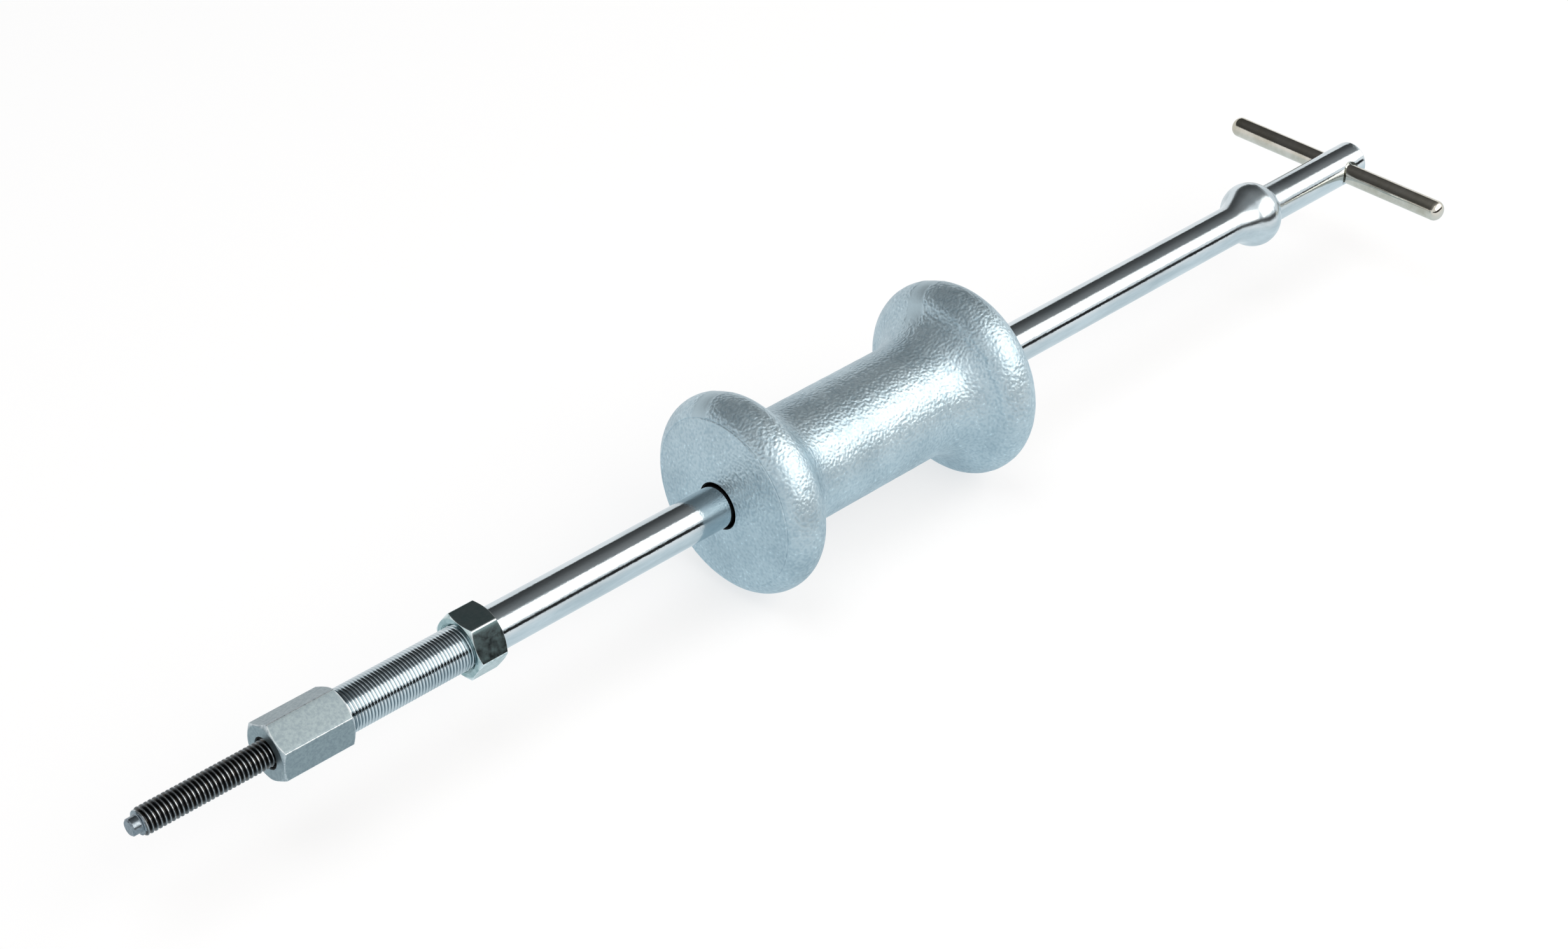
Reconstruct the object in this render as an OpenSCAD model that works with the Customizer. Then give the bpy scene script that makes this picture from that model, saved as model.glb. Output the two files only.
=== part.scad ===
// Slide hammer puller, lying on the two flanges of its weight.
// X runs along the bar, the draw stud points to -X, Z is up and the floor is at zero.

/* [Draw stud] */
// Outside diameter of the stud's thread
stud_d = 9.525; // [6:0.125:16]
// Diameter of the stud's screwed-in end, at the middle of its thread
stud_pitch_d = 8.49; // [5:0.01:15]
// Diameter of the plain dog point at the stud's tip
dog_d = 6; // [3:0.25:10]
// Length of the dog point
dog_len = 3.4; // [1:0.2:8]
// Diameter of the shoulder face behind the dog point
stud_shoulder_d = 8.5; // [5:0.25:15]
// Length of the shoulder's bevel up to the full thread
stud_bevel = 1.2; // [0.4:0.2:3]
// Length of stud that stands out of the adapter
stud_reach = 50.3; // [25:1:90]
// Gap between the stud's inner end and the bar inside the adapter
stud_end_gap = 1; // [0.5:0.1:4]
// Bevel on the rim of the dog point and of the stud's inner end
stud_edge = 0.5; // [0.2:0.1:1]

/* [Hex adapter] */
// Length of the adapter
adapter_len = 27.7; // [20:0.5:50]
// Width of the adapter across its flats
adapter_flats = 19.5; // [17.5:0.5:32]
// Turn of the adapter's first corner above level
adapter_turn = 34; // [0:1:60]
// Depth of the threaded socket for the bar
socket_depth = 13.7; // [8:0.5:20]
// Length of the bevel that takes the adapter's corners off at each end
adapter_bevel = 1; // [0.4:0.1:3]
// Width of the countersink round the stud
stud_sink = 1.5; // [0.8:0.1:3]
// Width of the countersink round the bar
socket_sink = 0.6; // [0.2:0.1:1.5]

/* [Pull bar] */
// Diameter of the bar and outside diameter of its thread
bar_d = 15.875; // [12:0.125:17]
// Bevel on the rim of the bar's threaded end
thread_edge = 1; // [0.4:0.1:2]
// Free length of thread between the adapter and the lock nut
adapter_to_nut = 48.7; // [20:1:90]
// Length of bare bar between the lock nut and the weight
bare_bar_len = 103.6; // [40:1:200]
// Length of bar from the weight to the middle of the stop collar
weight_to_collar = 165.1; // [60:1:300]
// Length of bar from the middle of the stop collar to the bar's end
collar_to_end = 67.1; // [40:1:120]
// Radius of the rounded rim at the bar's plain end
bar_round = 0.8; // [0.3:0.1:3]

/* [Stop collar] */
// Outside diameter of the forged stop collar
collar_d = 26.5; // [20:0.5:40]
// Radius of the collar's rounded section
collar_round = 9.7; // [6:0.1:12]
// Radius of the long flare on the weight's side
flare_round = 14; // [4:0.5:25]
// Radius of the short hollow on the cross bar's side
hollow_round = 2.5; // [1:0.25:8]

/* [Cross bar] */
// Diameter of the cross bar
cross_d = 8.4; // [6:0.1:10]
// Length of the cross bar
cross_len = 107; // [70:1:180]
// Distance from the middle of the cross bar to the bar's end
cross_to_end = 10.4; // [8:0.2:25]
// Radius of the rounded rim at each end of the cross bar
cross_round = 3.3; // [1:0.1:3.8]
// Width of the deburred bevel round the cross hole
deburr = 0.9; // [0.3:0.1:1.5]

/* [Lock nut] */
// Thickness of the lock nut
nut_len = 12; // [6:0.5:20]
// Width of the lock nut across its flats
nut_flats = 21.3; // [20:0.1:36]
// Turn of the lock nut's first corner above level
nut_turn = 4.3; // [0:0.1:60]
// Length of the bevel that takes the nut's corners off at each end
nut_bevel = 1; // [0.4:0.1:3]
// Width of the countersink at each mouth of the nut
nut_sink = 1; // [0.4:0.1:1.8]

/* [Sliding weight] */
// Diameter of the two flanges
flange_d = 76.2; // [60:0.5:110]
// Length of the weight between the rims of its faces
weight_len = 126; // [90:1:180]
// Diameter of the waist that the hand holds
waist_d = 44.8; // [34:0.2:54]
// Diameter of the bore that runs on the bar
bore_d = 17.2; // [12:0.1:20]
// Radius of the flange's rounded rim
rim_round = 9.9; // [7:0.1:12]
// Distance from the face to the widest line of the flange
rim_centre = 9; // [7:0.1:9.8]
// Radius of the hollow between the rim and the waist
waist_round = 17.5; // [8:0.5:22]
// Height of the crown on each face
face_crown = 2.8; // [0.5:0.1:4]
// Bevel at each mouth of the bore
bore_edge = 0.5; // [0.2:0.1:1.5]

/* [Fits] */
// Gap all round a thread or shaft in its hole
fit_gap = 0.05; // [0.02:0.01:0.1]

/* [Hidden] */
// Overrun of every cutting shape past the face that it cuts
over = 1;
// Largest angle of one step along a rounded section, and the fewest steps in any
step_angle = 6;
least_count = 3;
// Sides given to every round shape
$fn = 64;

stud_r = stud_d / 2;
stud_pitch_r = stud_pitch_d / 2;
dog_r = dog_d / 2;
stud_shoulder_r = stud_shoulder_d / 2;
bar_r = bar_d / 2;
cross_r = cross_d / 2;
waist_r = waist_d / 2;
bore_r = bore_d / 2;
flange_r = flange_d / 2;
collar_r = collar_d / 2;

// Stations along the bar, counted from the tip of the dog point
adapter_x = stud_reach;
adapter_end = adapter_x + adapter_len;
bar_start = adapter_end - socket_depth;
nut_x = adapter_end + adapter_to_nut;
nut_end = nut_x + nut_len;
weight_x = nut_end + bare_bar_len + face_crown;
weight_end = weight_x + weight_len;
collar_x = weight_end + face_crown + weight_to_collar;
bar_end = collar_x + collar_to_end;
cross_x = bar_end - cross_to_end;
bar_len = bar_end - bar_start;

// Circle of the flange's rounded rim, which the crowned face cuts off in front
rim_r = flange_r - rim_round;
rim_front = rim_r + sqrt(pow(rim_round, 2) - pow(rim_centre, 2));
rim_lean = lean(rim_r, rim_round, waist_r, waist_round);
waist_run = run(rim_round, waist_round, rim_lean);

// Ball that each crowned face is part of
face_round = (pow(rim_front, 2) + pow(face_crown, 2)) / (2 * face_crown);

// Circle of the stop collar's section, and where its two hollows touch it
collar_at = collar_r - collar_round;
flare_lean = lean(collar_at, collar_round, bar_r, flare_round);
flare_run = run(collar_round, flare_round, flare_lean);
hollow_lean = lean(collar_at, collar_round, bar_r, hollow_round);
hollow_run = run(collar_round, hollow_round, hollow_lean);

// One sub-part's name, or all of them

// Angle at which a hollow that rises from a straight wall touches a round bulge
function lean(bulge_at, bulge, wall_r, hollow) =
    acos((wall_r + hollow - bulge_at) / (bulge + hollow));

// Distance along the axis between the bulge's centre and the hollow's centre
function run(bulge, hollow, touch) = (bulge + hollow) * sin(touch);

// Points along an arc, from its first angle up to but not at its last
function arc(centre, r, from, to) =
    let (steps = max(least_count, ceil(abs(to - from) / step_angle)))
        [
            for (i = [0 : steps - 1])
                let (turn = from + (to - from) * i / steps)
                    centre + r * [cos(turn), sin(turn)]
        ];

// The same points moved along the axis
function shifted(points, distance) = [for (p = points) p + [0, distance]];

// The same points seen from the other end of a piece of this length
function flipped(points, length) =
    [for (i = [len(points) - 1 : -1 : 0]) [points[i][0], length - points[i][1]]];

// Lays a shape turned about Z down along the bar, starting at a station
module along(station) {
    translate([station - bar_end / 2, 0, flange_r])
        rotate([0, 90, 0])
            children();
}

// Outline of the stop collar from hollow to hollow, centred on its widest line
function collar_outline() = concat(
    arc([bar_r + flare_round, -flare_run], flare_round, 180, 180 - flare_lean),
    arc([collar_at, 0], collar_round, -flare_lean, 0),
    arc([collar_at, 0], collar_round, 0, hollow_lean),
    arc([bar_r + hollow_round, hollow_run], hollow_round, 180 + hollow_lean, 180),
    [[bar_r, hollow_run]]
);

// Outline of the whole bar, from the rim of its threaded end
function bar_outline() = concat(
    [[0, 0], [bar_r - thread_edge, 0], [bar_r, thread_edge]],
    shifted(collar_outline(), collar_x - bar_start),
    arc([bar_r - bar_round, bar_len - bar_round], bar_round, 0, 90),
    [[bar_r - bar_round, bar_len], [0, bar_len]]
);

// Bar with its forged stop collar, threaded end and cross hole
module puller_rod() {
    color([0.72, 0.74, 0.76])
        difference() {
            along(bar_start)
                rotate_extrude()
                    polygon(bar_outline());
            along(cross_x)
                rotate([90, 0, 0])
                    cross_hole();
        }
}

// Cutting shape of the hole for the cross bar, centred on the bar
module cross_hole() {
    cylinder(r = cross_r, h = (bar_r + over) * 2, center = true);
    for (side = [0, 180])
        rotate([side, 0, 0])
            translate([0, 0, bar_r - deburr])
                cylinder(r1 = cross_r, r2 = cross_r + deburr + over, h = deburr + over);
}

// Plain round cross bar, pressed through the end of the bar
module tommy_bar() {
    half = concat(
        arc([cross_r - cross_round, cross_len / 2 - cross_round], cross_round, 0, 90),
        [[cross_r - cross_round, cross_len / 2], [0, cross_len / 2]]
    );
    color([0.74, 0.75, 0.75])
        along(cross_x)
            rotate([90, 0, 0])
                rotate_extrude()
                    polygon(concat(flipped(half, 0), half));
}

// Height of a crowned face's surface at a distance from the bar's axis
function crown_at(r) = face_round - face_crown - sqrt(pow(face_round, 2) - pow(r, 2));

// Outline of the weight's front half, from its bore to its waist
function weight_outline() =
    let (
        mouth_r = bore_r + bore_edge,
        face_at = [0, face_round - face_crown],
        face_in = asin(mouth_r / face_round) - 90,
        face_out = asin(rim_front / face_round) - 90,
        rim_in = -atan2(rim_centre, rim_front - rim_r)
    )
        concat(
            [[bore_r, crown_at(mouth_r) + bore_edge]],
            arc(face_at, face_round, face_in, face_out),
            arc([rim_r, rim_centre], rim_round, rim_in, 0),
            arc([rim_r, rim_centre], rim_round, 0, rim_lean),
            arc(
                [waist_r + waist_round, rim_centre + waist_run],
                waist_round,
                180 + rim_lean,
                180
            ),
            [[waist_r, rim_centre + waist_run]]
        );

// Spool-shaped sliding weight with crowned faces and a plain bore
module slide_weight() {
    color([0.66, 0.71, 0.74])
        along(weight_x)
            rotate_extrude()
                polygon(concat(weight_outline(), flipped(weight_outline(), weight_len)));
}

// Hexagonal bar with its corners bevelled at both ends, standing on its face
module hexagon(flats, length, bevel, turn) {
    corner_r = flats / 2 / cos(30);
    slope_r = bevel / tan(30);
    intersection() {
        rotate([0, 0, turn + 90])
            cylinder(r = corner_r, h = length, $fn = 6);
        rotate_extrude()
            polygon([
                [0, 0],
                [corner_r - slope_r, 0],
                [corner_r + slope_r, bevel * 2],
                [corner_r + slope_r, length - bevel * 2],
                [corner_r - slope_r, length],
                [0, length]
            ]);
    }
}

// Cutting shape of a threaded hole with a countersunk mouth at its start
module threaded_hole(r, length, sink) {
    translate([0, 0, -over])
        cylinder(r = r + fit_gap, h = length + over);
    translate([0, 0, -over])
        cylinder(r1 = r + fit_gap + sink + over, r2 = r + fit_gap, h = sink + over);
}

// Hexagonal lock nut, countersunk on both sides
module lock_nut() {
    color([0.62, 0.70, 0.72])
        along(nut_x)
            difference() {
                hexagon(nut_flats, nut_len, nut_bevel, nut_turn);
                threaded_hole(bar_r, nut_len + over, nut_sink);
                translate([0, 0, nut_len])
                    mirror([0, 0, 1])
                        threaded_hole(bar_r, nut_len / 2, nut_sink);
            }
}

// Hexagonal adapter with a small thread in front and the bar's thread behind
module hex_adapter() {
    color([0.52, 0.54, 0.50])
        along(adapter_x)
            difference() {
                hexagon(adapter_flats, adapter_len, adapter_bevel, adapter_turn);
                threaded_hole(stud_pitch_r, adapter_len - socket_depth + over, stud_sink);
                translate([0, 0, adapter_len])
                    mirror([0, 0, 1])
                        threaded_hole(bar_r, socket_depth, socket_sink);
            }
}

// Draw stud with a plain dog point
module draw_stud() {
    stud_len = stud_reach + adapter_len - socket_depth - stud_end_gap;
    color([0.18, 0.19, 0.20])
        along(0)
            rotate_extrude()
                polygon([
                    [0, 0],
                    [dog_r - stud_edge, 0],
                    [dog_r, stud_edge],
                    [dog_r, dog_len],
                    [stud_shoulder_r, dog_len],
                    [stud_r, dog_len + stud_bevel],
                    [stud_r, stud_reach],
                    [stud_pitch_r, stud_reach],
                    [stud_pitch_r, stud_len - stud_edge],
                    [stud_pitch_r - stud_edge, stud_len],
                    [0, stud_len]
                ]);
}

puller_rod();
tommy_bar();
slide_weight();
lock_nut();
hex_adapter();
draw_stud();
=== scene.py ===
import math

import bmesh
import bpy
from mathutils import Matrix, Vector, noise


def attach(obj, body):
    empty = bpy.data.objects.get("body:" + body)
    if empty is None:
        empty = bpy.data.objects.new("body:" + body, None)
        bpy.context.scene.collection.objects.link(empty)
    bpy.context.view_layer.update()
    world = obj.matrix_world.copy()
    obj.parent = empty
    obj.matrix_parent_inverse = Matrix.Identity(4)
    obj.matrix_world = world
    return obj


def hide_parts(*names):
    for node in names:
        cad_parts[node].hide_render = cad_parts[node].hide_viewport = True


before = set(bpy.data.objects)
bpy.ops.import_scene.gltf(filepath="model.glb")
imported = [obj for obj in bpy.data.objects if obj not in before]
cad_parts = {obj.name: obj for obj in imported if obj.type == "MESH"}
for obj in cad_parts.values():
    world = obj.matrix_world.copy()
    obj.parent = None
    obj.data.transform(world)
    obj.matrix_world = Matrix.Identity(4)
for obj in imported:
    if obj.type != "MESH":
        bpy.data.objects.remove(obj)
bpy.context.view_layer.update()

# Slide hammer puller. X runs along the bar, the draw stud points to -X, Z is up.
# Every size below is in millimetres, and stations are counted from the stud's tip.
tool = {
    "length": 606.1,
    "axisHeight": 38.1,
}


def mm(value):
    return value / 1000.0


def toFrame(station, side, up):
    # station along the bar, side and up measured from the bar's axis
    return (
        mm(station - tool["length"] / 2),
        mm(side),
        mm(up + tool["axisHeight"]),
    )


def fromFrame(point):
    return (
        point.x * 1000 + tool["length"] / 2,
        point.y * 1000,
        point.z * 1000 - tool["axisHeight"],
    )


# Colours, nodes and materials

def linearColour(hexText):
    # sRGB hex to linear, with full alpha
    channels = []
    for i in (1, 3, 5):
        c = int(hexText[i:i + 2], 16) / 255.0
        channels.append(c / 12.92 if c <= 0.04045 else ((c + 0.055) / 1.055) ** 2.4)
    return (*channels, 1.0)


def grey(level):
    return (level, level, level, 1.0)


def perMetre(size):
    # scale of a noise pattern whose spots are about this many millimetres across
    return 1000.0 / size


# places of a Mix node's two colour inputs and of its colour output
mixA, mixB, mixOut = 6, 7, 2


def addNode(tree, kind, settings=None, links=None, stops=None):
    # settings: attribute or input to value; links: input to (node, output);
    # stops: (position, colour) pairs of a colour ramp
    node = tree.nodes.new(kind)
    for key, value in (settings or {}).items():
        if isinstance(key, str) and hasattr(node, key):
            setattr(node, key, value)
        else:
            node.inputs[key].default_value = value
    for key, (source, output) in (links or {}).items():
        tree.links.new(source.outputs[output], node.inputs[key])
    if stops:
        points = node.color_ramp.elements
        while len(points) < len(stops):
            points.new(0.5)
        for point, (position, colour) in zip(points, stops):
            point.position = position
            point.color = colour
    return node


def newMaterial(name, hexText):
    material = bpy.data.materials.new(name)
    material.use_nodes = True
    material.node_tree.nodes.clear()
    material.diffuse_color = linearColour(hexText)
    return material, material.node_tree


def finishMetal(tree, colour, rough, bump, metallic=1.0):
    shader = addNode(
        tree,
        "ShaderNodeBsdfPrincipled",
        {"Metallic": metallic},
        {"Base Color": colour, "Roughness": rough, "Normal": (bump, "Normal")},
    )
    addNode(tree, "ShaderNodeOutputMaterial", None, {"Surface": (shader, "BSDF")})


def placeOnBar(tree, stretch=1.0):
    # object coordinates counted from the bar's axis; a stretch above 1 draws a pattern
    # out along the bar by that much
    coordinates = addNode(tree, "ShaderNodeTexCoord")
    return addNode(
        tree,
        "ShaderNodeMapping",
        {"Location": (0, 0, -mm(tool["axisHeight"])), "Scale": (1 / stretch, 1, 1)},
        {"Vector": (coordinates, "Object")},
    )


def twoBumps(tree, first, firstDepth, second, secondDepth, share=None):
    # two height patterns, the finer one laid over the coarser one
    settings = {"Distance": mm(firstDepth)}
    links = {"Height": (first, "Fac")}
    if share:
        links["Strength"] = share
    else:
        settings["Strength"] = 1.0
    coarse = addNode(tree, "ShaderNodeBump", settings, links)
    settings = dict(settings, Distance=mm(secondDepth))
    links = dict(links, Height=(second, "Fac"), Normal=(coarse, "Normal"))
    return addNode(tree, "ShaderNodeBump", settings, links)


def rubAndHighlight(tree, base, spots, stops, brightHex):
    # the mesh's wear mark, broken up by the spots, lightens the metal in patches: partly rubbed
    # bare metal, partly painted highlight along edges and crests
    wearAndHighlight = addNode(tree, "ShaderNodeAttribute", {"attribute_name": "wearAndHighlight"})
    patches = addNode(tree, "ShaderNodeValToRGB", None, {"Fac": (spots, "Fac")}, stops)
    rubbed = addNode(
        tree,
        "ShaderNodeMath",
        {"operation": "MULTIPLY"},
        {0: (wearAndHighlight, "Fac"), 1: (patches, "Color")},
    )
    return addNode(
        tree,
        "ShaderNodeMix",
        {"data_type": "RGBA", mixB: linearColour(brightHex)},
        {0: (rubbed, "Value"), mixA: (base, "Color")},
    )


chromeBar = {
    "plate": "#D0DADF",
    "hazed": "#B8C4CA",
    "grooveShade": "#8C999F",      # painted shade down in the thread's grooves
    "roughness": (0.05, 0.14),
    "satin": 0.09,            # roughness added where the bar was forged and not ground
    "hazeSize": 9.0,
    "waveSize": 1.5,
    "waveDepth": 0.03,
    "lineSize": 0.4,
    "lineDepth": 0.009,
    "lineStretch": 5.0,
}

nickelBar = dict(
    chromeBar,
    plate="#D2CFC6",
    hazed="#BDB9AC",
    roughness=(0.06, 0.15),
    waveSize=2.0,
    waveDepth=0.02,
)


def makeChrome(name, v):
    # Hard chrome on ground steel: a mirror with faint waves, haze and drawn-out
    # polishing lines, which fray the edges of what it reflects
    material, tree = newMaterial(name, v["plate"])
    place = placeOnBar(tree)
    drawn = placeOnBar(tree, v["lineStretch"])
    haze = addNode(
        tree,
        "ShaderNodeTexNoise",
        {"Scale": perMetre(v["hazeSize"]), "Detail": 5.0, "Roughness": 0.62},
        {"Vector": (drawn, "Vector")},
    )
    waves = addNode(
        tree,
        "ShaderNodeTexNoise",
        {"Scale": perMetre(v["waveSize"]), "Detail": 3.0, "Roughness": 0.55},
        {"Vector": (place, "Vector")},
    )
    lines = addNode(
        tree,
        "ShaderNodeTexNoise",
        {"Scale": perMetre(v["lineSize"]), "Detail": 3.0, "Roughness": 0.6},
        {"Vector": (drawn, "Vector")},
    )
    plate = addNode(
        tree,
        "ShaderNodeValToRGB",
        None,
        {"Fac": (haze, "Fac")},
        [(0.36, linearColour(v["hazed"])), (0.6, linearColour(v["plate"]))],
    )
    # painted shade: the plate turns darker the deeper a corner lies in the thread
    grooveShade = addNode(tree, "ShaderNodeAttribute", {"attribute_name": "grooveShade"})
    colour = addNode(
        tree,
        "ShaderNodeMix",
        {"data_type": "RGBA", mixB: linearColour(v["grooveShade"])},
        {0: (grooveShade, "Fac"), mixA: (plate, "Color")},
    )
    low, high = v["roughness"]
    gloss = addNode(
        tree,
        "ShaderNodeValToRGB",
        None,
        {"Fac": (haze, "Fac")},
        [(0.3, grey(high)), (0.7, grey(low))],
    )
    satin = addNode(tree, "ShaderNodeAttribute", {"attribute_name": "satin"})
    rough = addNode(
        tree,
        "ShaderNodeMath",
        {"operation": "MULTIPLY_ADD", 1: v["satin"]},
        {0: (satin, "Fac"), 2: (gloss, "Color")},
    )
    bump = twoBumps(tree, waves, v["waveDepth"], lines, v["lineDepth"])
    finishMetal(tree, (colour, mixOut), (rough, "Value"), bump)
    return material


silverPaint = {
    "paint": "#BDD0D9",
    "thin": "#ABBFC9",
    "ground": "#B2C5CE",
    "peelShading": "#EAEFF2",        # painted shade down in the hollows of the orange peel
    "peelGlints": 1.25,           # painted glints on the tops of the orange peel, brighter than white
    "roughness": (0.36, 0.48),
    "peelSize": 1.1,          # the real skin is a little finer, drawn coarser so that it shows
    "peelDepth": 0.3,
    "grainSize": 0.4,
    "grainDepth": 0.03,
    "cloudSize": 26.0,
    "metallic": 0.9,
    "groundOff": 0.9,         # share of the skin's relief that grinding took off the band
}


def makeSilverPaint(name, v):
    # Aluminium paint over a sand-cast skin: coarse orange peel that breaks each light
    # into small sparks, and smooth where the parting line was ground off the flanges
    material, tree = newMaterial(name, v["paint"])
    place = placeOnBar(tree)
    peel = addNode(
        tree,
        "ShaderNodeTexNoise",
        {"Scale": perMetre(v["peelSize"]), "Detail": 0.4},
        {"Vector": (place, "Vector")},
    )
    grain = addNode(
        tree,
        "ShaderNodeTexNoise",
        {"Scale": perMetre(v["grainSize"]), "Detail": 3.0, "Roughness": 0.6},
        {"Vector": (place, "Vector")},
    )
    cloud = addNode(
        tree,
        "ShaderNodeTexNoise",
        {"Scale": perMetre(v["cloudSize"]), "Detail": 3.0},
        {"Vector": (place, "Vector")},
    )
    skin = addNode(
        tree,
        "ShaderNodeValToRGB",
        None,
        {"Fac": (cloud, "Fac")},
        [(0.35, linearColour(v["thin"])), (0.58, linearColour(v["paint"]))],
    )
    # painted shade in the peel's hollows and painted glints on its tops, following the same
    # pattern as the bump
    peelShading = addNode(
        tree,
        "ShaderNodeValToRGB",
        None,
        {"Fac": (peel, "Fac")},
        [
            (0.32, linearColour(v["peelShading"])),
            (0.55, grey(1.0)),
            (0.7, grey(1.0)),
            (0.77, grey(v["peelGlints"])),
        ],
    )
    toned = addNode(
        tree,
        "ShaderNodeMix",
        {"data_type": "RGBA", "blend_type": "MULTIPLY", 0: 1.0},
        {mixA: (skin, "Color"), mixB: (peelShading, "Color")},
    )
    band = addNode(tree, "ShaderNodeAttribute", {"attribute_name": "groundBand"})
    colour = addNode(
        tree,
        "ShaderNodeMix",
        {"data_type": "RGBA", mixB: linearColour(v["ground"])},
        {0: (band, "Fac"), mixA: (toned, mixOut)},
    )
    low, high = v["roughness"]
    rough = addNode(
        tree,
        "ShaderNodeValToRGB",
        None,
        {"Fac": (grain, "Fac")},
        [(0.3, grey(low)), (0.7, grey(high))],
    )
    rest = addNode(
        tree,
        "ShaderNodeMath",
        {"operation": "MULTIPLY_ADD", 1: -v["groundOff"], 2: 1.0},
        {0: (band, "Fac")},
    )
    bump = twoBumps(
        tree, peel, v["peelDepth"], grain, v["grainDepth"], (rest, "Value")
    )
    finishMetal(tree, (colour, mixOut), (rough, "Color"), bump, v["metallic"])
    return material


zincPlate = {
    "plate": "#A9BEC0",
    "mottle": "#8FA9AB",
    "wornAndHighlight": "#E6F0F2",
    "roughness": (0.09, 0.2),
    "spotSize": 2.6,
    "markSize": 0.3,
    "markDepth": 0.003,
    "markStretch": 3.0,
}

dullSteel = {
    "plate": "#93A2A7",
    "mottle": "#84939A",
    "wornAndHighlight": "#CDD6DA",
    "roughness": (0.34, 0.42),
    "spotSize": 1.1,
    "markSize": 0.35,
    "markDepth": 0.012,
    "markStretch": 3.0,
}

turnedTip = dict(
    dullSteel, plate="#87929A", mottle="#6F7A82", roughness=(0.2, 0.3), spotSize=0.8
)

# near-black painted shade in the weight's bore and in the adapter's stud hole and countersink,
# where shade falls
paintedBoreShade = dict(
    dullSteel, plate="#232425", mottle="#161718", wornAndHighlight="#232425", roughness=(0.5, 0.65)
)

# bare steel in the cross hole and its bevel, drawn dark as painted shade in the gap round the
# cross bar
crossHoleSteelAndShade = dict(
    dullSteel, plate="#6E7472", mottle="#3E4341", roughness=(0.25, 0.4), spotSize=0.9
)


def makeMachinedSteel(name, v):
    # Drawn or turned steel under a thin plate or bare: satin, faintly mottled, with
    # fine tool marks, and lighter along its edges, partly rubbed wear and partly painted
    # highlight
    material, tree = newMaterial(name, v["plate"])
    place = placeOnBar(tree)
    drawn = placeOnBar(tree, v["markStretch"])
    spots = addNode(
        tree,
        "ShaderNodeTexNoise",
        {"Scale": perMetre(v["spotSize"]), "Detail": 5.0, "Roughness": 0.65},
        {"Vector": (place, "Vector")},
    )
    marks = addNode(
        tree,
        "ShaderNodeTexNoise",
        {"Scale": perMetre(v["markSize"]), "Detail": 3.0, "Roughness": 0.6},
        {"Vector": (drawn, "Vector")},
    )
    plate = addNode(
        tree,
        "ShaderNodeValToRGB",
        None,
        {"Fac": (spots, "Fac")},
        [(0.38, linearColour(v["mottle"])), (0.6, linearColour(v["plate"]))],
    )
    # lighter along corners and edges: partly rubbed wear, partly painted highlight
    colour = rubAndHighlight(tree, plate, spots, [(0.36, grey(0.25)), (0.54, grey(1.0))], v["wornAndHighlight"])
    low, high = v["roughness"]
    gloss = addNode(
        tree,
        "ShaderNodeValToRGB",
        None,
        {"Fac": (spots, "Fac")},
        [(0.35, grey(high)), (0.65, grey(low))],
    )
    bump = twoBumps(tree, spots, v["markDepth"], marks, v["markDepth"])
    finishMetal(tree, (colour, mixOut), (gloss, "Color"), bump)
    return material


blackOxide = {
    "oxide": "#363B3F",
    "brown": "#46423D",
    "crestAndHighlight": "#A3ABB0",
    "roughness": (0.22, 0.38),
    "spotSize": 1.4,
    "spotDepth": 0.012,
    "grainSize": 0.35,
    "grainDepth": 0.004,
}


def makeBlackOxide(name, v):
    # Rolled thread in oiled black oxide, lighter along its crests, partly rubbed to bare steel
    # and partly painted highlight
    material, tree = newMaterial(name, v["oxide"])
    place = placeOnBar(tree)
    spots = addNode(
        tree,
        "ShaderNodeTexNoise",
        {"Scale": perMetre(v["spotSize"]), "Detail": 4.0, "Roughness": 0.6},
        {"Vector": (place, "Vector")},
    )
    grain = addNode(
        tree,
        "ShaderNodeTexNoise",
        {"Scale": perMetre(v["grainSize"]), "Detail": 2.0},
        {"Vector": (place, "Vector")},
    )
    oxide = addNode(
        tree,
        "ShaderNodeValToRGB",
        None,
        {"Fac": (spots, "Fac")},
        [(0.4, linearColour(v["oxide"])), (0.66, linearColour(v["brown"]))],
    )
    # lighter along the crests: partly rubbed wear, partly painted highlight
    colour = rubAndHighlight(tree, oxide, spots, [(0.32, grey(0.3)), (0.55, grey(1.0))], v["crestAndHighlight"])
    low, high = v["roughness"]
    gloss = addNode(
        tree,
        "ShaderNodeValToRGB",
        None,
        {"Fac": (spots, "Fac")},
        [(0.3, grey(high)), (0.7, grey(low))],
    )
    bump = twoBumps(tree, spots, v["spotDepth"], grain, v["grainDepth"])
    finishMetal(tree, (colour, mixOut), (gloss, "Color"), bump)
    return material


materials = {
    "bar": makeChrome("chromePlatedGroundSteel", chromeBar),
    "crossBar": makeChrome("nickelPlatedDrawnSteel", nickelBar),
    "weight": makeSilverPaint("aluminiumPaintOnSandCasting", silverPaint),
    "nut": makeMachinedSteel("zincPlatedMachinedSteel", zincPlate),
    "adapter": makeMachinedSteel("bareDrawnHexSteel", dullSteel),
    "stud": makeBlackOxide("oiledBlackOxideRolledThread", blackOxide),
    "tip": makeMachinedSteel("turnedBareSteelTip", turnedTip),
    "bore": makeMachinedSteel("paintedShadeInBores", paintedBoreShade),
    "edge": makeMachinedSteel("crossHoleSteelAndPaintedShade", crossHoleSteelAndShade),
}
print("materials made:", len(materials))


# Meshes turned round an axis

meshWork = {
    "arcStep": 3.0,           # degrees between the corners of a plain arc
    "leastStep": 1e-4,        # corners of an outline closer than this become one
    "weldDistance": 2e-7,     # corners of a mesh too, in metres
    "leastEdge": 1e-8,        # shorter edges are taken out, in metres
    "sharp": 35.0,            # edges that bend more than this many degrees stay sharp
}


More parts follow.
